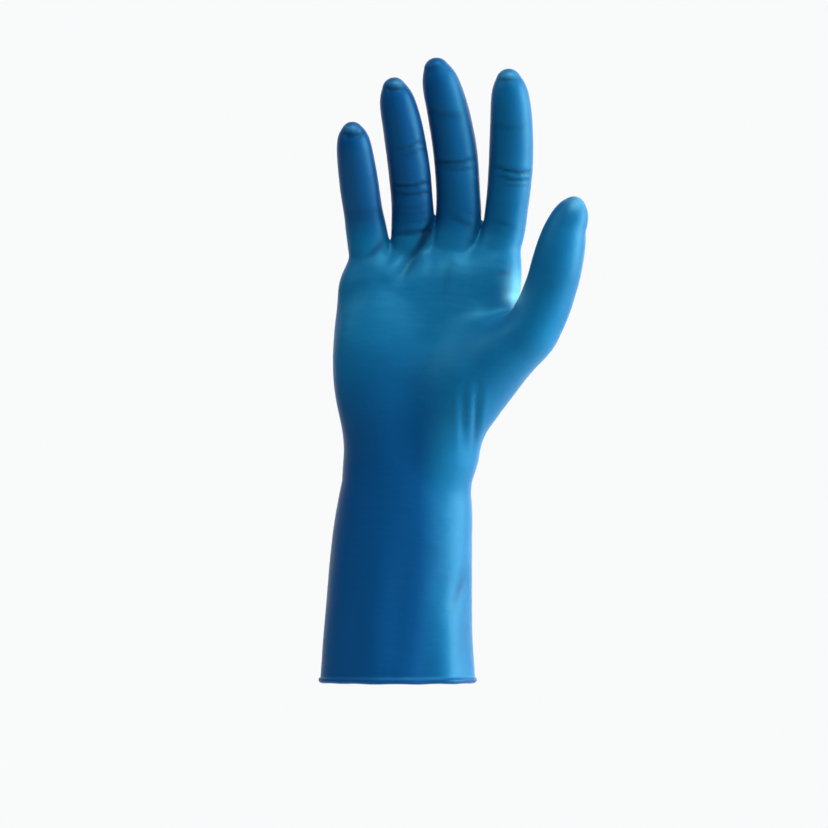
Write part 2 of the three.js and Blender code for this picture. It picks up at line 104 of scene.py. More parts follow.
# Each finger leaves the palm at x, y and z, as shares of the palm's width, depth and length.
# Its slant and bend across, and its lift and curl to the front, are shares of its own length. Slim is
# how much thinner than the common form its root is, fading out at SLIM_TO of its length. In x, slant
# and root the index finger differs a little from the CAD model's.
FINGERS = table(
    ("name", "size", "x", "y", "z", "slant", "bend", "lift", "curl", "slim"),
    [
        ("little", LITTLE_SIZE, -0.233, 0.0, 0.985, -0.17, 0.03, 0.25, 0.15, 0.0),
        ("ring", RING_SIZE, 0.036, 0.05, 0.994, -0.015, -0.13, 0.2, 0.11, 0.0),
        ("middle", MIDDLE_SIZE, 0.293, 0.07, 1.018, 0.055, -0.21, 0.17, 0.1, 0.0),
        ("index", INDEX_SIZE, 0.552, 0.05, 0.978, 0.182, -0.155, 0.12, 0.1, 0.07),
    ],
)
SLIM_TO = 0.42
FINGER_FORM = table(
    ("along", "girth"),
    [(0, 1.04), (0.18, 0.99), (0.42, 0.99), (0.65, 0.95), (0.83, 0.84), (0.925, 0.57)],
)
FINGER_ROOT = table(("inward", "girth"), [(0.32, 0.7), (0.14, 1.05)])

# The thumb starts beside the wrist. Its stations are shares of its own length.
THUMB_START = (0.215, -0.22, 0.127)
THUMB_FORM = table(
    ("along", "across", "forward", "girth"),
    [
        (0, 0, 0, 1.4),
        (0.185, 0.045, 0.035, 1.34),
        (0.29, 0.112, 0.075, 1.26),
        (0.425, 0.304, 0.125, 1.24),
        (0.525, 0.378, 0.15, 1.15),
        (0.64, 0.424, 0.167, 1.1),
        (0.73, 0.448, 0.18, 1.08),
        (0.81, 0.467, 0.187, 1.01),
        (0.87, 0.481, 0.19, 0.88),
        (0.92, 0.502, 0.19, 0.76),
        (0.955, 0.515, 0.187, 0.52),
    ],
)
THENAR_CENTRE = (0.37, -0.55, 0.38)
THENAR_LEAN = 36
HEEL_CENTRE = (-0.16, -0.36, 0.4)
HEEL_LEAN = -4

# Folds on the palm's side, as lines: x is a share of the palm's width, and z of the palm's length
# above the wrist or the cuff's below it. A ridge has a depth below 0. The last two are softer than
# the CAD model's.
FOLD_COLUMNS = ("from_x", "from_z", "to_x", "to_z", "depth", "width")
FOLDS = table(
    FOLD_COLUMNS,
    [
        (0.155, 1.02, -0.07, 0.76, 1.1, 1.0),
        (-0.09, 0.97, -0.26, 0.86, 0.7, 0.9),
        (-0.02, 0.92, -0.15, 0.77, -0.5, 1.0),
        (0.4, 1.0, 0.3, 0.86, 0.5, 0.9),
        (0.6, 0.72, 0.42, 0.6, 0.6, 1.4),
        (0.44, 0.61, 0.3, 0.4, 0.6, 1.6),
        (0.33, 0.42, 0.33, 0.04, 0.5, 0.7),
        (0.42, 0.42, 0.36, 0.04, 0.5, 0.7),
        (0.39, -0.38, 0.2, -0.74, 0.5, 1.2),
        (0.3, -0.3, 0.14, -0.66, 0.25, 1.2),
    ],
)
END_FADE = 1.5
WEB_FROM = 0.76


def clamp(value, low, high):
    return np.minimum(high, np.maximum(low, value))


def lerp(a, b, t):
    return a + (b - a) * t


def smoothstep(value, low, high):
    t = clamp((value - low) / (high - low), 0, 1)
    return t * t * (3 - 2 * t)


def smooth_min(a, b, blend):
    h = clamp(0.5 + 0.5 * (b - a) / blend, 0, 1)
    return lerp(b, a, h) - blend * h * (1 - h)


def smooth_max(a, b, blend):
    return -smooth_min(-a, -b, blend)


def height_at(share):
    return share * (CUFF_LENGTH if share < 0 else PALM_LENGTH)


def in_palm(x, y, z):
    return np.array([x * PALM_WIDTH, y * PALM_DEPTH, z * PALM_LENGTH])


def curve_through(rows, count):
    """count + 1 points on a smooth curve through the rows, ends included."""
    rows = np.array(rows, dtype=float)
    rows = np.vstack([2 * rows[0] - rows[1], rows, 2 * rows[-1] - rows[-2]])
    spans = len(rows) - 3
    places = np.linspace(0, spans, count + 1)
    first = np.minimum(places.astype(int), spans - 1)
    t = (places - first)[:, None]
    a, b, c, d = (rows[first + i] for i in range(4))
    return 0.5 * (2 * b + (c - a) * t + (2 * a - 5 * b + 4 * c - d) * t**2
                  + (3 * b - a - 3 * c + d) * t**3)


# A digit is a row of short cones on a smooth curve through its stations.
CONES_PER_STATION = 6


def make_digit(stations, flatness):
    path = curve_through(stations, (len(stations) - 1) * CONES_PER_STATION)
    return {"path": path, "flatness": flatness}


def digit_distance(digit, x, y, z, reach):
    """Distance to a digit, which is worked out only for the points within reach of its box."""
    path, flatness = digit["path"], digit["flatness"]
    margin = path[:, 3].max() + reach
    low = path[:, :3].min(axis=0) - margin
    high = path[:, :3].max(axis=0) + margin
    near = (x > low[0]) & (x < high[0]) & (y > low[1]) & (y < high[1]) & (z > low[2]) & (z < high[2])
    distance = np.full(x.shape, reach)
    px, py, pz = x[near], y[near] / flatness, z[near]
    best = np.full(px.shape, np.inf)
    round_path = path / np.array([1, flatness, 1, 1])
    for start, end in zip(round_path[:-1], round_path[1:]):
        dx, dy, dz, grow = end - start
        ux, uy, uz = px - start[0], py - start[1], pz - start[2]
        t = clamp((ux * dx + uy * dy + uz * dz) / (dx * dx + dy * dy + dz * dz), 0, 1)
        away = np.sqrt((ux - t * dx) ** 2 + (uy - t * dy) ** 2 + (uz - t * dz) ** 2)
        best = np.minimum(best, away - start[3] - t * grow)
    distance[near] = best * (1 + flatness) / 2
    return distance


def finger_stations(finger):
    """Places and radii along a finger, from inside the palm to its tip."""
    width = finger["size"]["width"]
    root = in_palm(finger["x"], finger["y"], finger["z"])
    below = []
    for row in FINGER_ROOT:
        inward, radius = row["inward"], row["girth"] * width / 2
        below.append((lerp(root[0], 0, inward), root[1], lerp(root[2], 0, inward), radius))
    above = []
    for row in FINGER_FORM:
        girth = row["girth"] - finger["slim"] * max(0, 1 - row["along"] / SLIM_TO)
        above.append((*finger_middle(finger, row["along"]), girth * width / 2))
    return below + above


def finger_middle(finger, along):
    """The middle of a finger at a share of its length."""
    root = in_palm(finger["x"], finger["y"], finger["z"])
    length = finger["size"]["length"]
    across = (finger["slant"] * along + finger["bend"] * along**2) * length
    forward = (finger["lift"] * along + finger["curl"] * along**2) * length
    return root[0] + across, root[1] - forward, root[2] + along * length


def thumb_stations():
    start = in_palm(*THUMB_START)
    length, width = THUMB_SIZE["length"], THUMB_SIZE["width"]
    return [
        (start[0] + row["across"] * length, start[1] - row["forward"] * length,
         start[2] + row["along"] * length, row["girth"] * width / 2)
        for row in THUMB_FORM
    ]


fingers = [make_digit(finger_stations(finger), FINGER_FLATNESS) for finger in FINGERS]
thumb = make_digit(thumb_stations(), THUMB_FLATNESS)
section_heights = np.array([height_at(row["height"]) for row in SECTIONS])


def section_value(column, z):
    """One column of the sections at each height, on a smooth curve through the rows."""
    values = np.array([row[column] for row in SECTIONS])
    ends_low = np.maximum(np.arange(len(values)) - 1, 0)
    ends_high = np.minimum(np.arange(len(values)) + 1, len(values) - 1)
    changes = values[ends_high] - values[ends_low]
    slopes = changes / (section_heights[ends_high] - section_heights[ends_low])
    row = np.clip(np.searchsorted(section_heights, z, side="right") - 1, 0, len(values) - 2)
    span = section_heights[row + 1] - section_heights[row]
    t = clamp((z - section_heights[row]) / span, 0, 1)
    rise = t * t * (3 - 2 * t)
    bow = t * (1 - t) * span * ((1 - t) * slopes[row] - t * slopes[row + 1])
    return lerp(values[row], values[row + 1], rise) + bow


def size_at(cuff, wrist, palm, z):
    """The width or depth at a height, from the hem through the wrist to the knuckles."""
    below = lerp(wrist, cuff, clamp(-z / CUFF_LENGTH, 0, 1))
    above = lerp(wrist, palm, clamp(z / (KNUCKLES * PALM_LENGTH), 0, 1))
    return np.where(z < 0, below, above)


def body_sides(z):
    width = size_at(CUFF_WIDTH, WRIST_WIDTH, PALM_WIDTH, z)
    depth = size_at(CUFF_DEPTH, WRIST_DEPTH, PALM_DEPTH, z)
    return {
        "left": -section_value("left", z) * width,
        "right": section_value("right", z) * width,
        "front": -section_value("front", z) * depth,
        "back": section_value("back", z) * depth,
        "power": section_value("power", z),
    }


# Keeps a divisor away from 0.
TINY = 1e-6


def body_distance(x, y, z, sides):
    left, right, front, back, power = sides.values()
    half_width, half_depth = (right - left) / 2, (back - front) / 2
    across = np.abs(x - (left + right) / 2) / half_width + TINY
    deep = np.abs(y - (front + back) / 2) / half_depth + TINY
    size = (across**power + deep**power) ** (1 / power)
    slope_x = (across / size) ** (power - 1) / half_width
    slope_y = (deep / size) ** (power - 1) / half_depth
    sideways = (size - 1) / np.hypot(slope_x, slope_y)
    return smooth_max(sideways, z - PALM_END * PALM_LENGTH - PALM_END_SLOPE * x, PALM_END_ROUNDING)


def pad_distance(centre, size, lean, x, y, z):
    """Distance to an ellipsoid that leans about Y."""
    turn = math.radians(lean)
    centre_x, centre_y, centre_z = in_palm(*centre)
    half_x, half_y, half_z = (side / 2 for side in size)
    dx, dy, dz = x - centre_x, y - centre_y, z - centre_z
    px = math.cos(turn) * dx - math.sin(turn) * dz
    pz = math.sin(turn) * dx + math.cos(turn) * dz
    near = np.sqrt((px / half_x) ** 2 + (dy / half_y) ** 2 + (pz / half_z) ** 2)
    steep = np.sqrt((px / half_x**2) ** 2 + (dy / half_y**2) ** 2 + (pz / half_z**2) ** 2) + TINY
    return near * (near - 1) / steep


def fold_depth(folds, x, z):
    """How far a table of folds sinks the skin on the palm's side."""
    sunk = np.zeros_like(x)
    for fold in folds:
        from_x, from_z = fold["from_x"] * PALM_WIDTH, height_at(fold["from_z"])
        run_x, run_z = fold["to_x"] * PALM_WIDTH - from_x, height_at(fold["to_z"]) - from_z
        length = math.hypot(run_x, run_z)
        t = clamp(((x - from_x) * run_x + (z - from_z) * run_z) / length**2, 0, 1)
        off = ((x - from_x) * run_z - (z - from_z) * run_x) / length
        reach = fold["width"] * FOLD_WIDTH / 2
        sunk += fold["depth"] * FOLD_DEPTH * (4 * t * (1 - t)) ** END_FADE * np.exp(-((off / reach) ** 2))
    return sunk


def skin_distance(x, y, z):
    """Signed distance to the skin's outer face, below 0 inside the hand."""
    sides = body_sides(z)
    webbing = smoothstep(z, WEB_FROM * PALM_LENGTH, PALM_LENGTH)
    blend = lerp(PALM_BLEND, WEB_BLEND, webbing)
    distance = body_distance(x, y, z, sides)
    far = 2 * PALM_BLEND + THUMB_BLEND
    for finger in fingers:
        distance = smooth_min(distance, digit_distance(finger, x, y, z, far), blend)
    pad = pad_distance(THENAR_CENTRE, THENAR_SIZE, THENAR_LEAN, x, y, z)
    thumb_and_pad = smooth_min(digit_distance(thumb, x, y, z, far), pad, THUMB_BLEND)
    distance = smooth_min(distance, thumb_and_pad, THUMB_BLEND)
    heel = pad_distance(HEEL_CENTRE, HEEL_SIZE, HEEL_LEAN, x, y, z)
    distance = smooth_min(distance, heel, THUMB_BLEND)
    middle = (sides["front"] + sides["back"]) / 2
    return distance + fold_depth(FOLDS, x, z) * smoothstep(middle - y, 0, FOLD_WIDTH)


# The step over which the field's slope is taken, in millimetres.
PROBE = 0.2


def skin_normal(points, on_hem):
    """The field's slope at each point, kept level along the hem."""
    slopes = []
    for axis in range(3):
        step = np.zeros(3)
        step[axis] = PROBE
        ahead, behind = (points + step).T, (points - step).T
        slopes.append((skin_distance(*ahead) - skin_distance(*behind)) / (2 * PROBE))
    normal = np.stack(slopes, axis=1)
    normal[on_hem, 2] = 0
    return normal


hem = -CUFF_LENGTH + BEAD_DIAMETER / 2


def snap_to_skin(points, on_hem, rounds):
    """Moves points along the slope onto the skin, and those of the hem along its plane."""
    points[on_hem, 2] = hem
    for _ in range(rounds):
        normal = skin_normal(points, on_hem)
        off = skin_distance(*points.T) / (normal**2).sum(axis=1)
        points -= normal * off[:, None]
    return points


# The net of the skin is drawn in small grid cells. A coarse pass finds where the skin is, and the fine
# one takes NEAR_CELLS coarse cells round it. At 1.46 no edge of the net has more than two faces. At
# 1.45 two edges at the foot of a gap between fingers had four.
CELL = 1.46
COARSE = 4
NEAR_CELLS = 2
GRID_LOW = np.array([-52.0, -48.0, hem])
GRID_HIGH = np.array([96.0, 36.0, 212.0])


def grid_values():
    """The field at the nodes of the fine grid, exact near the skin and only its sign elsewhere."""
    counts = np.ceil((GRID_HIGH - GRID_LOW) / (CELL * COARSE)).astype(int) + 1
    axes = [GRID_LOW[a] + np.arange(counts[a] * COARSE + 1) * CELL for a in range(3)]
    # The lowest layer repeats the one above it, so that the net ends straight across at the hem.
    axes[2] -= CELL / 2
    axes[2][0] = axes[2][1]
    coarse = [axis[::COARSE] for axis in axes]
    x, y, z = (v.ravel() for v in np.meshgrid(*coarse, indexing="ij"))
    rough = skin_distance(x, y, z).reshape([len(v) for v in coarse])
    near = np.abs(rough) < CELL * COARSE * NEAR_CELLS

    def spread_out(array):
        """A coarse array, repeated to the size of the fine grid."""
        for axis in range(3):
            array = np.repeat(array, COARSE, axis)
        return array[: len(axes[0]), : len(axes[1]), : len(axes[2])]

    value = spread_out(rough)
    i, j, k = np.nonzero(spread_out(near))
    value[i, j, k] = skin_distance(axes[0][i], axes[1][j], axes[2][k])
    return axes, value


def edge_ends(array, axis):
    """The array at the low and at the high end of each grid edge along an axis."""
    low = [slice(None)] * 3
    high = [slice(None)] * 3
    low[axis], high[axis] = slice(None, -1), slice(1, None)
    return array[tuple(low)], array[tuple(high)]


def net_of_skin():
    """Surface nets: one point in each cell that the skin passes, one face round each crossed edge."""
    axes, value = grid_values()
    inside = value < 0
    cells = [n - 1 for n in value.shape]
    total = np.zeros(cells + [3])
    count = np.zeros(cells)
    for axis in range(3):
        a, b = edge_ends(value, axis)
        starts_inside, ends_inside = edge_ends(inside, axis)
        crossed = starts_inside != ends_inside
        i, j, k = np.nonzero(crossed)
        t = a[crossed] / (a[crossed] - b[crossed])
        place = np.stack([axes[0][i], axes[1][j], axes[2][k]], axis=1)
        ends = np.stack([i, j, k], axis=1)
        nexts = ends.copy()
        nexts[:, axis] += 1
        place[:, axis] = lerp(axes[axis][ends[:, axis]], axes[axis][nexts[:, axis]], t)
        others = [n for n in range(3) if n != axis]
        for du, dv in ((0, 0), (0, 1), (1, 0), (1, 1)):
            cell = ends.copy()
            cell[:, others[0]] -= du
            cell[:, others[1]] -= dv
            valid = ((cell >= 0) & (cell < cells)).all(axis=1)
            where = tuple(cell[valid].T)
            np.add.at(total, where, place[valid])
            np.add.at(count, where, 1)
    used = np.nonzero(count)
    index = np.full(cells, -1)
    index[used] = np.arange(len(used[0]))
    points = total[used] / count[used][:, None]
    on_hem = used[2] == 0

    quads = []
    for axis in range(3):
        u, v = (axis + 1) % 3, (axis + 2) % 3
        starts_inside, ends_inside = edge_ends(inside, axis)
        ends = np.stack(np.nonzero(starts_inside != ends_inside), axis=1)
        ends = ends[(ends[:, u] > 0) & (ends[:, v] > 0) & (ends[:, 2] > 0)]
        ends = ends[(ends < np.array(cells)).all(axis=1)]
        outward = inside[tuple(ends.T)]
        ring = []
        for du, dv in ((0, 0), (1, 0), (1, 1), (0, 1)):
            cell = ends.copy()
            cell[:, u] -= du
            cell[:, v] -= dv
            ring.append(index[tuple(cell.T)])
        ring = np.stack(ring, axis=1)
        ring[~outward] = ring[~outward][:, ::-1]
        quads.append(ring)
    quads = np.concatenate(quads)
    return points, quads, on_hem


# Rounds of snapping the net to the skin and of evening it out, and how far a point goes in each round
# towards the middle of its neighbours.
SNAP_ROUNDS = 2
EVEN_ROUNDS = 3
EVEN_SHARE = 0.5


def sides_of(quads):
    """The sides of all the quads, each as the pair of points that it runs between."""
    return np.concatenate([quads[:, [0, 1]], quads[:, [1, 2]], quads[:, [2, 3]], quads[:, [3, 0]]])


def even_out(points, quads, on_hem, rounds):
    """Draws each point towards the middle of its neighbours, along the skin."""
    pairs = sides_of(quads)
    pairs = np.concatenate([pairs, pairs[:, ::-1]])
    pairs = pairs[~on_hem[pairs[:, 0]] | on_hem[pairs[:, 1]]]
    count = np.bincount(pairs[:, 0], minlength=len(points))
    for _ in range(rounds):
        sums = [
            np.bincount(pairs[:, 0], weights=points[pairs[:, 1], axis], minlength=len(points))
            for axis in range(3)
        ]
        middle = np.stack(sums, axis=1) / count[:, None]
        points = snap_to_skin(lerp(points, middle, EVEN_SHARE), on_hem, 1)
    return points


# Creases across the palm's side of a finger. Along is a share of its length, tilt and arch bend the
# line, depth and width are in millimetres, and side and span say how much of the breadth it crosses.
CREASES = table(
    ("finger", "along", "tilt", "arch", "depth", "width", "side", "span"),
    [
        ("index", 0.379, -0.2, 0.012, 0.65, 1.0, 0.2, 0.9),
        ("index", 0.332, -0.17, 0.01, 0.55, 1.0, 0.25, 0.8),
        ("index", 0.293, -0.15, 0.01, 0.28, 1.0, 0.3, 0.6),
        ("index", 0.64, -0.05, 0.01, 0.2, 1.6, 0.0, 0.9),
        ("index", 0.935, 0.1, 0.03, 0.5, 1.1, 0.1, 0.55),
        ("middle", 0.369, 0.05, 0.012, 0.65, 1.1, -0.1, 0.9),
        ("middle", 0.327, -0.03, 0.01, 0.42, 1.0, 0.1, 0.7),
        ("middle", 0.648, -0.12, 0.012, 0.3, 2.0, -0.2, 0.8),
        ("middle", 0.942, 0.5, 0.05, 0.5, 1.1, -0.3, 0.45),
        ("ring", 0.292, 0.04, 0.012, 0.65, 1.0, 0.0, 1.0),
        ("ring", 0.238, -0.02, 0.01, 0.65, 1.0, -0.1, 0.9),
        ("ring", 0.545, 0.22, 0.01, 0.55, 1.0, 0.3, 0.75),
        ("ring", 0.5, 0.22, 0.01, 0.45, 1.0, 0.4, 0.65),
        ("ring", 0.146, 0.05, 0.008, 0.22, 1.0, 0.0, 0.9),
        ("ring", 0.1, 0.04, 0.008, 0.28, 1.0, 0.1, 0.9),
        ("ring", 0.055, 0.04, 0.008, 0.22, 1.0, 0.1, 0.9),
        ("ring", 0.925, 0.05, 0.05, 0.8, 1.2, -0.1, 0.6),
        ("little", 0.18, 0.0, 0.01, 0.25, 1.3, 0.0, 0.9),
        ("little", 0.125, 0.02, 0.01, 0.18, 1.3, 0.1, 0.9),
        ("little", 0.9, 0.1, 0.06, 0.75, 1.2, 0.1, 0.65),
    ],
)

# A crease ends past the finger's side, at a share of its half width. It fades in from a depth in
# millimetres to a share of the half width, and has a lip above it, as shares of its width and depth.
CREASE_PAST_SIDE = 1.15
CREASE_FADE_FROM = 0.5
CREASE_FADE_TO = 0.6
LIP_ABOVE = 1.7
LIP_HEIGHT = 0.3

# Finer folds than the CAD model's, on the palm's side. Their depth also paints shade into the film's
# colour.
FINE_FOLDS = table(
    FOLD_COLUMNS,
    [
        (0.16, 1.03, -0.06, 0.77, 0.36, 0.6),
        (0.17, 1.07, 0.07, 0.9, 0.4, 0.45),
        (-0.1, 0.97, -0.25, 0.86, 0.26, 0.45),
        (-0.11, 0.975, 0.17, 0.99, 0.42, 0.28),
        (0.21, 1.06, 0.43, 0.985, 0.2, 0.36),
        (0.3, 1.08, 0.43, 1.03, 0.12, 0.3),
        (0.47, 1.03, 0.64, 1.0, 0.15, 0.3),
        (0.5, 0.815, 0.6, 0.82, 0.3, 0.22),
        (0.49, 0.86, 0.57, 0.865, 0.12, 0.25),
        (0.28, 0.4, 0.29, 0.1, -0.16, 0.26),
        (0.325, 0.4, 0.32, 0.12, 0.12, 0.26),
        (0.37, 0.42, 0.355, 0.1, -0.26, 0.26),
        (0.41, 0.42, 0.39, 0.1, 0.22, 0.26),
        (0.455, 0.42, 0.425, 0.12, -0.15, 0.26),
        (0.37, -0.4, 0.25, -0.68, 0.2, 0.4),
        (0.05, -0.315, 0.24, -0.325, -0.12, 0.3),
        (0.2, 0.95, 0.14, 0.72, -0.12, 0.4),
        (0.27, 0.93, 0.2, 0.7, 0.12, 0.4),
    ],
)


def crease_depth(points):
    """How far the joint creases sink the fingers' palm side."""
    x, y, z = points.T
    sunk = np.zeros(len(points))
    for crease in CREASES:
        finger = next(row for row in FINGERS if row["name"] == crease["finger"])
        middle = finger_middle(finger, crease["along"])
        half = finger["size"]["width"] / 2
        across = x - middle[0]
        line = middle[2] + crease["tilt"] * across + crease["arch"] * across**2
        reach = np.exp(-(((across / half - crease["side"]) / crease["span"]) ** 4))
        own = (np.abs(across) < half * CREASE_PAST_SIDE) & (y < middle[1])
        front = smoothstep(middle[1] - y, CREASE_FADE_FROM, half * CREASE_FADE_TO)
        width = crease["width"]
        dip = np.exp(-(((z - line) / width) ** 2)) * reach * front
        lip = np.exp(-(((z - line - LIP_ABOVE * width) / width) ** 2)) * reach * front
        sunk += np.where(own, crease["depth"] * (dip - LIP_HEIGHT * lip), 0)
    return sunk


# Soft unevenness of the whole skin, in millimetres, each a sum of RIPPLES plane waves of about the
# wavelength.
UNEVENNESS = table(("height", "seed", "wavelength"), [(0.05, 4, 24.0), (0.015, 9, 9.0)])
RIPPLES = 14
RIPPLE_RANGE = (0.7, 1.5)

# Waves round the loose cuff: height in millimetres at the hem, how many go round, how they turn with
# each millimetre of height, and where they start.
CUFF_WAVES = table(
    ("height", "round", "turn", "start"),
    [(0.5, 5, 0.02, 1.0), (0.35, 9, -0.03, 0.0)],
)

# How far the skin faces the palm's side before the fine folds begin, and where they are full.
FOLDS_FACING = (0.1, 0.6)


def ripple(points, seed, wavelength):
    """Smooth random relief between about -1 and 1."""
    random = np.random.default_rng(seed)
    total = np.zeros(len(points))
    for _ in range(RIPPLES):
        direction = random.normal(size=3)
        length = wavelength * random.uniform(*RIPPLE_RANGE)
        direction *= 2 * math.pi / (length * np.linalg.norm(direction))
        total += np.sin(points @ direction + random.uniform(0, 2 * math.pi))
    return total / math.sqrt(RIPPLES)


def relief(points, normals):
    """How far the skin stands out of its plain form at each point, and how hard it is creased, which sets
    the painted shade in the creases.
    """
    x, y, z = points.T
    palm_side = smoothstep(-normals[:, 1], *FOLDS_FACING)
    creases = crease_depth(points) + fold_depth(FINE_FOLDS, x, z) * palm_side
    loose = smoothstep(-z, 0, CUFF_LENGTH)
    around = np.arctan2(y, x)
    cuff_waves = sum(
        row["height"] * np.sin(row["round"] * around + row["turn"] * z + row["start"])
        for row in CUFF_WAVES
    )
    soft = sum(row["height"] * ripple(points, row["seed"], row["wavelength"]) for row in UNEVENNESS)
    return soft - creases + loose * cuff_waves, creases


# Where the film is painted a deeper blue: painted shade on the parts that face away from the light,
# partly film that lies slack. Most of the cuff is, fading out over the palm's heel and towards the lit
# thumb's side, and so are the fingers, most of all the little and ring fingers. Ranges in millimetres.
MOST_SLACK_SHADE = 0.95
HEEL_RANGE = (15, 75)
THUMB_SIDE_RANGE = (4, 20)
THUMB_SIDE_CUT = 0.9
FINGER_RANGE = (112, 130)
MIDDLE_RANGE = (12, 24)
MIDDLE_CUT = 0.35
INDEX_RANGE = (33, 47)
INDEX_SLACK_SHADE = 0.25


def slack_and_shade(points):
    """How deep the painted shade is, partly slack film: from 0 where the film is stretched, pale and lit
    to 1 where it is slack, deep and in shade.
    """
    x, _, z = points.T
    away_from_thumb = 1 - THUMB_SIDE_CUT * smoothstep(x, *THUMB_SIDE_RANGE)
    low = MOST_SLACK_SHADE * (1 - smoothstep(z, *HEEL_RANGE)) * away_from_thumb
    to_middle = MOST_SLACK_SHADE - MIDDLE_CUT * smoothstep(x, *MIDDLE_RANGE)
    on_fingers = smoothstep(z, *FINGER_RANGE)
    return np.maximum(low, on_fingers * lerp(to_middle, INDEX_SLACK_SHADE, smoothstep(x, *INDEX_RANGE)))


# Places painted pale: painted highlights where the light glints, partly film stretched thin, in the web
# of the thumb and
# at fingertips: centre and reach, in millimetres.
STRETCH_HIGHLIGHTS = table(
    ("x", "z", "reach_x", "reach_z", "amount"),
    [
        (50.5, 88.5, 3.6, 2.4, 0.45),
        (52.0, 93.0, 4.2, 7.5, 0.5),
        (-26.5, 170.0, 3.2, 1.6, 0.16),
        (-4.4, 191.8, 3.4, 1.7, 0.18),
        (50.0, 196.0, 3.6, 1.6, 0.2),
        (82.0, 134.0, 4.0, 3.5, 0.28),
    ],
)
# How far the skin faces the palm's side before the painted highlight shows, and where it shows fully.
HIGHLIGHT_FACING = (-0.1, 0.3)


def stretch_and_highlight(points, normals):
    """How strong the painted highlight is, partly stretched film, on the palm's side."""
    x, _, z = points.T
    palm_side = smoothstep(-normals[:, 1], *HIGHLIGHT_FACING)
    total = np.zeros(len(points))
    for spot in STRETCH_HIGHLIGHTS:
        across = (x - spot["x"]) / spot["reach_x"]
        up = (z - spot["z"]) / spot["reach_z"]
        total += spot["amount"] * np.exp(-(across**2) - up**2)
    return np.minimum(1, total) * palm_side


def new_mesh(name, points, faces):
    mesh = bpy.data.meshes.new(name)
    mesh.from_pydata((points * MM).tolist(), [], faces)
    mesh.update()
    mesh.polygons.foreach_set("use_smooth", np.ones(len(mesh.polygons), bool))
    piece = bpy.data.objects.new(name, mesh)
    bpy.context.scene.collection.objects.link(piece)
    return piece


def set_attribute(piece, name, values):
    attribute = piece.data.attributes.new(name, "FLOAT", "POINT")
    attribute.data.foreach_set("value", values.astype(np.float32))


# The bead's section has BEAD_SIDES sides, and it swells and thins a little round the hem.
BEAD_SIDES = 14
BEAD_SWELL = 0.06
SWELL_TURNS = (0.31, 0.27)


def hem_bead(outer, normals, quads):
    """The points of the rolled bead, beyond the rims of the two faces, and its faces."""
    count = len(outer)
    known = set(map(tuple, sides_of(quads).tolist()))
    # A side on the rim has a face on one side of it only.
    rim = [(a, b) for a, b in known if (b, a) not in known]
    mouth = math.asin(WALL / BEAD_DIAMETER)
    angles = np.linspace(mouth, 2 * math.pi - mouth, BEAD_SIDES + 1)[1:-1]
    extra = []
    ring_of = {}
    for a, _ in rim:
        turn_x, turn_y = outer[a, 0] * SWELL_TURNS[0], outer[a, 1] * SWELL_TURNS[1]
        radius = BEAD_DIAMETER / 2 * (1 + BEAD_SWELL * math.sin(turn_x) * math.cos(turn_y))
        ring = []
        for angle in angles:
            corner = outer[a] + normals[a] * (radius * math.sin(angle) - WALL / 2)
            corner[2] = outer[a, 2] + radius * (math.cos(angle) - math.cos(mouth))
            ring.append(2 * count + len(extra))
            extra.append(corner)
        ring_of[a] = [a, *ring, a + count]
    faces = []
    for a, b in rim:
        for s in range(BEAD_SIDES):
            faces.append([ring_of[b][s], ring_of[a][s], ring_of[a][s + 1], ring_of[b][s + 1]])
    return np.array(extra), faces


def make_skin():
    """The outer face, the inner face a wall inside it, and the rolled bead that joins them."""
    points, quads, on_hem = net_of_skin()
    points = snap_to_skin(points, on_hem, SNAP_ROUNDS)
    points = even_out(points, quads, on_hem, EVEN_ROUNDS)
    normals = skin_normal(points, on_hem)
    normals /= np.linalg.norm(normals, axis=1, keepdims=True)
    out, creases = relief(points, normals)
    outer = points + normals * out[:, None]
    inner = outer - normals * WALL
    bead, bead_faces = hem_bead(outer, normals, quads)
    faces = quads.tolist() + (quads[:, ::-1] + len(points)).tolist() + bead_faces
    piece = new_mesh("glove_skin", np.concatenate([outer, inner, bead]), faces)
    tail = np.zeros(len(bead))
    slack = slack_and_shade(points)
    painted_highlight = stretch_and_highlight(points, normals)
    # Painted shade in the creases, darkest where they are deepest.
    set_attribute(piece, "crease", np.concatenate([creases, creases, tail]))
    # Painted shade: a deeper blue on the fingers and the cuff, partly slack film.
    set_attribute(piece, "slack", np.concatenate([slack, slack, tail + 1]))
    # Painted highlights: pale spots in the thumb's web and at fingertips, partly stretched film.
    set_attribute(piece, "stretch", np.concatenate([painted_highlight, painted_highlight, tail]))
    return piece


# The film of nitrile, as values of its shader.
FILM_SHADER = {
    "Roughness": 0.48,
    "Specular IOR Level": 0.32,
    "Specular Tint": (0.12, 0.8, 1.0, 1),
    "Sheen Weight": 0.02,
    "Sheen Roughness": 0.4,
    "Sheen Tint": (0.6, 0.85, 1.0, 1),
    "Subsurface Weight": 0.12,
    "Subsurface Radius": (0.2, 0.7, 1.0),
    "Subsurface Scale": 0.003,
}
# Patches of two blues: scale and detail of their noise, and their places on the ramp.
PATCH_NOISE = (26.0, 3.0)
PATCHES = table(
    ("position", "colour"),
    [(0.3, (0.002, 0.072, 0.178, 1)), (0.72, (0.003, 0.108, 0.24, 1))],
)
# What the film's colour goes over to where light and shade are painted: painted shade where the film lies
# slack and faces away from the light, painted shade in the creases, and painted highlights where it is
# stretched; and the attribute's value at which it is all that colour.
FILM_STATES = table(
    ("attribute", "full", "colour"),
    [
        # A deeper blue of painted shade, partly slack film.
        ("slack", 1.0, (0.0005, 0.04, 0.145, 1)),
        # Near-black painted shade in the creases.
        ("crease", 0.7, (0.0006, 0.018, 0.06, 1)),
        # A pale cyan painted highlight, partly stretched film.
        ("stretch", 1.0, (0.16, 0.47, 0.62, 1)),
    ],
)
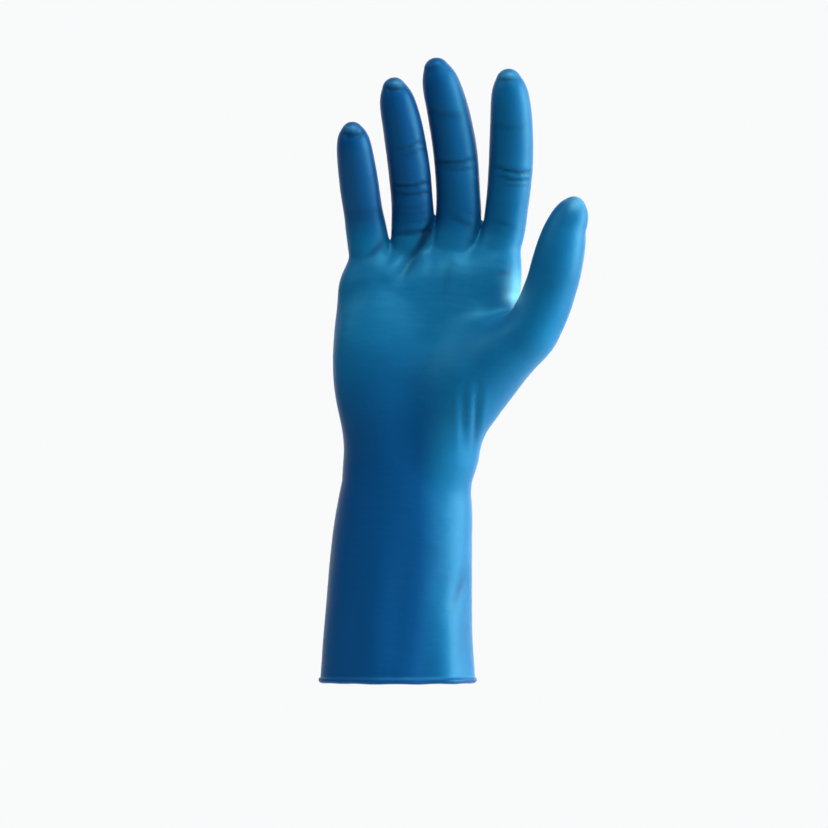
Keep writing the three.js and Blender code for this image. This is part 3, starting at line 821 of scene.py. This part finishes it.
# Bumps, each laid over the one before: scale and detail of the noise, how it is squeezed along each
# axis, and the bump's strength and its distance in metres.
BUMPS = table(
    ("scale", "detail", "squeeze", "strength", "distance"),
    [
        (1400.0, 2.0, (1.0, 1.0, 1.0), 0.12, 0.0002),
        (160.0, 4.0, (1.0, 1.0, 1.0), 0.15, 0.0008),
        (260.0, 3.0, (0.3, 0.3, 1.0), 0.3, 0.0006),
    ],
)


def nitrile():
    material = bpy.data.materials.new("nitrile_film")
    material.use_nodes = True
    nodes, links = material.node_tree.nodes, material.node_tree.links
    shader = nodes["Principled BSDF"]
    for socket, value in FILM_SHADER.items():
        shader.inputs[socket].default_value = value
    place = nodes.new("ShaderNodeTexCoord")

    def noise(scale, detail, squeeze=(1.0, 1.0, 1.0)):
        mapping = nodes.new("ShaderNodeMapping")
        mapping.inputs["Scale"].default_value = squeeze
        links.new(place.outputs["Object"], mapping.inputs["Vector"])
        node = nodes.new("ShaderNodeTexNoise")
        node.inputs["Scale"].default_value = scale
        node.inputs["Detail"].default_value = detail
        links.new(mapping.outputs["Vector"], node.inputs["Vector"])
        return node.outputs["Fac"]

    ramp = nodes.new("ShaderNodeValToRGB")
    for element, row in zip(ramp.color_ramp.elements, PATCHES):
        element.position = row["position"]
        element.color = row["colour"]
    links.new(noise(*PATCH_NOISE), ramp.inputs["Fac"])

    colour = ramp.outputs["Color"]
    for row in FILM_STATES:
        attribute = nodes.new("ShaderNodeAttribute")
        attribute.attribute_name = row["attribute"]
        share = nodes.new("ShaderNodeMapRange")
        share.inputs["From Max"].default_value = row["full"]
        links.new(attribute.outputs["Fac"], share.inputs["Value"])
        mix = nodes.new("ShaderNodeMix")
        mix.data_type = "RGBA"
        mix.inputs["B"].default_value = row["colour"]
        links.new(share.outputs["Result"], mix.inputs["Factor"])
        links.new(colour, mix.inputs["A"])
        colour = mix.outputs["Result"]
    links.new(colour, shader.inputs["Base Color"])

    normal = None
    for row in BUMPS:
        bump = nodes.new("ShaderNodeBump")
        bump.inputs["Strength"].default_value = row["strength"]
        bump.inputs["Distance"].default_value = row["distance"]
        links.new(noise(row["scale"], row["detail"], row["squeeze"]), bump.inputs["Height"])
        if normal:
            links.new(normal, bump.inputs["Normal"])
        normal = bump.outputs["Normal"]
    links.new(normal, shader.inputs["Normal"])
    return material


# Matt paper, for the floor and the board.
PAPER_ROUGHNESS = 0.9


def paper(name, colour):
    material = bpy.data.materials.new(name)
    material.use_nodes = True
    shader = material.node_tree.nodes["Principled BSDF"]
    shader.inputs["Base Color"].default_value = (*colour, 1)
    shader.inputs["Roughness"].default_value = PAPER_ROUGHNESS
    return material


# The glove is held up, so the floor is clear of its hem.
FLOOR_BELOW_HEM = 120.0
FLOOR_RADIUS = 680.0
FLOOR_SIDES = 96
FLOOR_COLOUR = (0.8, 0.81, 0.82)
BOARD_PLACE = 700.0
BOARD_HALF_WIDTH = 1800.0
BOARD_HEIGHT = 1500.0
BOARD_COLOUR = (0.9, 0.91, 0.92)


def make_stage():
    """A round floor, and a white board behind the glove that throws light on its edges.

    The camera doesn't see the board, so it hides nothing when the glove is looked at from behind.
    """
    floor = -CUFF_LENGTH - FLOOR_BELOW_HEM
    angles = np.linspace(0, 2 * math.pi, FLOOR_SIDES, endpoint=False)
    circle = np.stack([np.cos(angles), np.sin(angles)], axis=1) * FLOOR_RADIUS
    edge = np.column_stack([circle, np.full(FLOOR_SIDES, floor)])
    disc = new_mesh("studio_floor", edge, [list(range(FLOOR_SIDES))])
    disc.data.materials.append(paper("floor_paper", FLOOR_COLOUR))
    corners = [(-1, 0), (1, 0), (1, 1), (-1, 1)]
    places = [(x * BOARD_HALF_WIDTH, BOARD_PLACE, floor + z * BOARD_HEIGHT) for x, z in corners]
    board = new_mesh("studio_board", np.array(places), [[0, 1, 2, 3]])
    board.data.materials.append(paper("board_paper", BOARD_COLOUR))
    board.visible_camera = False


# The photograph's frame: how much of the glove's plane it shows, and where its middle is.
VIEW_WIDTH = 401.6
VIEW_MIDDLE = (3.4, 0.0, 32.0)
CAMERA_DISTANCE = 4500.0
SENSOR_WIDTH = 36.0


def make_camera():
    """A camera level with the glove, straight in front of the palm, as in the photograph."""
    data = bpy.data.cameras.new("camera")
    data.sensor_width = SENSOR_WIDTH
    data.lens = SENSOR_WIDTH * CAMERA_DISTANCE / VIEW_WIDTH
    camera = bpy.data.objects.new("camera", data)
    middle = Vector(VIEW_MIDDLE)
    camera.location = (middle - Vector((0, CAMERA_DISTANCE, 0))) * MM
    camera.rotation_euler = (math.radians(90), 0, 0)
    bpy.context.scene.collection.objects.link(camera)
    bpy.context.scene.camera = camera


# Soft white lights that all point at one place: place and size in millimetres, power in watts.
LIGHTS_AIM = (20, 0, 60)
LIGHTS = table(
    ("name", "place", "size", "power"),
    [
        ("key_right", (1200, -150, 200), 800, 38),
        ("front_high", (350, -800, 1450), 700, 32),
        ("left_high", (-800, -380, 900), 600, 5),
    ],
)


def make_lights():
    for row in LIGHTS:
        data = bpy.data.lights.new(row["name"], "AREA")
        data.size = row["size"] * MM
        data.energy = row["power"]
        light = bpy.data.objects.new(row["name"], data)
        light.location = Vector(row["place"]) * MM
        direction = Vector(LIGHTS_AIM) - Vector(row["place"])
        light.rotation_euler = direction.to_track_quat("-Z", "Y").to_euler()
        bpy.context.scene.collection.objects.link(light)


# The world gives a faint cool light, and the camera sees it as a pale backdrop.
FILL_COLOUR = (0.7, 0.85, 1.0, 1)
FILL_STRENGTH = 0.05
BACKDROP_COLOUR = (0.95, 0.955, 0.96, 1)


def make_world():
    world = bpy.data.worlds.new("studio")
    world.use_nodes = True
    nodes, links = world.node_tree.nodes, world.node_tree.links
    fill = nodes["Background"]
    fill.inputs["Color"].default_value = FILL_COLOUR
    fill.inputs["Strength"].default_value = FILL_STRENGTH
    backdrop = nodes.new("ShaderNodeBackground")
    backdrop.inputs["Color"].default_value = BACKDROP_COLOUR
    rays = nodes.new("ShaderNodeLightPath")
    seen = nodes.new("ShaderNodeMixShader")
    share, for_other_rays, for_camera = seen.inputs
    links.new(rays.outputs["Is Camera Ray"], share)
    links.new(fill.outputs["Background"], for_other_rays)
    links.new(backdrop.outputs["Background"], for_camera)
    links.new(seen.outputs["Shader"], nodes["World Output"].inputs["Surface"])
    bpy.context.scene.world = world


make_camera()
skin = make_skin()
skin.data.materials.append(nitrile())
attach(skin, "root")
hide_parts("glove")
make_stage()
make_lights()
make_world()
bpy.context.scene.view_settings.view_transform = "Standard"
